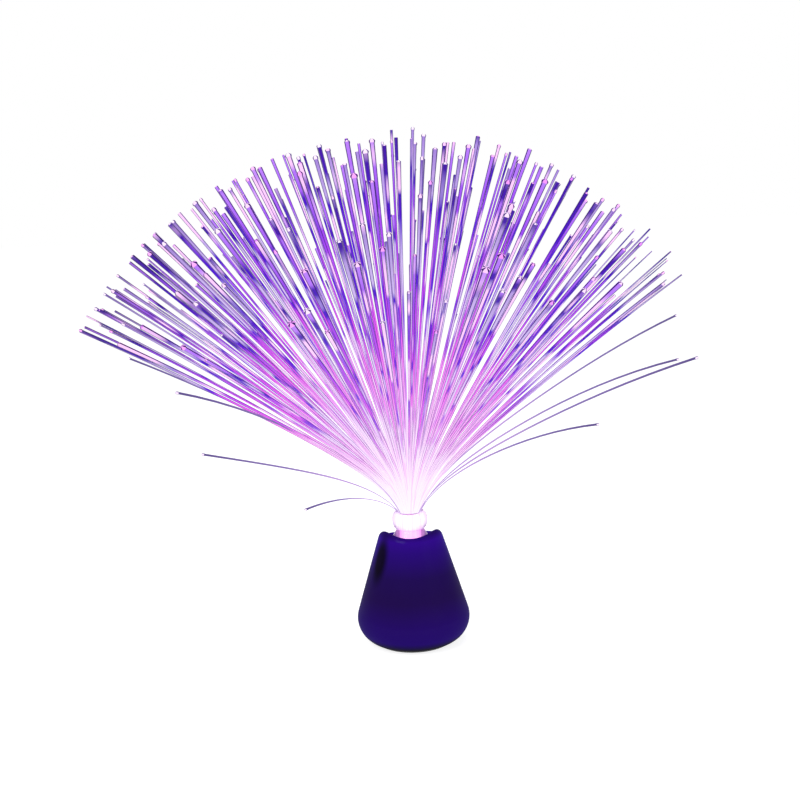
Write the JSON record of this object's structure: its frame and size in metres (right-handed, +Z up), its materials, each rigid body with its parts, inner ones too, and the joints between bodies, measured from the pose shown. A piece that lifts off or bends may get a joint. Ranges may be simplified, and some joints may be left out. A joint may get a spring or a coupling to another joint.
{
  "type": "fibre optic lamp",
  "caption": "Battery table lamp: a tapering violet base with two soft horns on its rim, a clear collar and a fan of light-guiding fibres in a lift-out beaded ferrule.",
  "frame": {"origin": "centre of the flat foot that the lamp stands on", "axes": "+Z up along the axis of the base and the spray, -Y towards the front, where the rim dips between two horns, +X to the right"},
  "size_m": [0.3903, 0.3945, 0.3274],
  "materials": {
    "violet_plastic": "glossy",
    "black_plastic": "satin",
    "plated_steel": "bright",
    "contact_metal": "nickel plated",
    "cell_jacket": "printed jacket, plain",
    "board": "solder mask",
    "lamp_resin": "clear, lit",
    "white_plastic": "matte",
    "resistor_body": "lacquered",
    "wire_sleeve": "satin",
    "clear_plastic": "clear, glowing from inside",
    "fibre": "clear, glowing"
  },
  "bodies": {
    "base": {"base_shell": "violet_plastic", "bottom_cover": "black_plastic", "cover_screws": "plated_steel", "battery_carrier": "black_plastic", "battery_1": "cell_jacket", "battery_2": "cell_jacket", "battery_3": "cell_jacket", "top_contacts": "contact_metal", "top_spring": "contact_metal", "return_strip": "contact_metal", "circuit_board": "board", "board_screws": "plated_steel", "led_lamp": "lamp_resin", "led_legs": "contact_metal", "reflector": "white_plastic", "resistor": "resistor_body", "switch_body": "plated_steel", "switch_wires": "wire_sleeve", "light_collar": "clear_plastic"},
    "door": {"battery_door": "black_plastic", "door_contacts": "contact_metal", "door_springs": "contact_metal"},
    "switch": {"switch_knob": "black_plastic"},
    "spray": {"fibre_ferrule": "clear_plastic", "fibres_inner": "fibre", "fibres_middle": "fibre", "fibres_outer": "fibre"}
  },
  "joints": [
    {"name": "spray_lift", "type": "slide", "parent": "base", "child": "spray", "axis": [0, 0, 1], "range_m": [0, 0.03]},
    {"name": "door_hinge", "type": "hinge", "parent": "base", "child": "door", "pos_m": [0.01505, 0, 0.0013], "axis": [0, -1, 0], "range_deg": [0, 90]},
    {"name": "switch_slide", "type": "slide", "parent": "base", "child": "switch", "axis": [1, 0, 0], "range_m": [-0.0025, 0]}
  ]
}
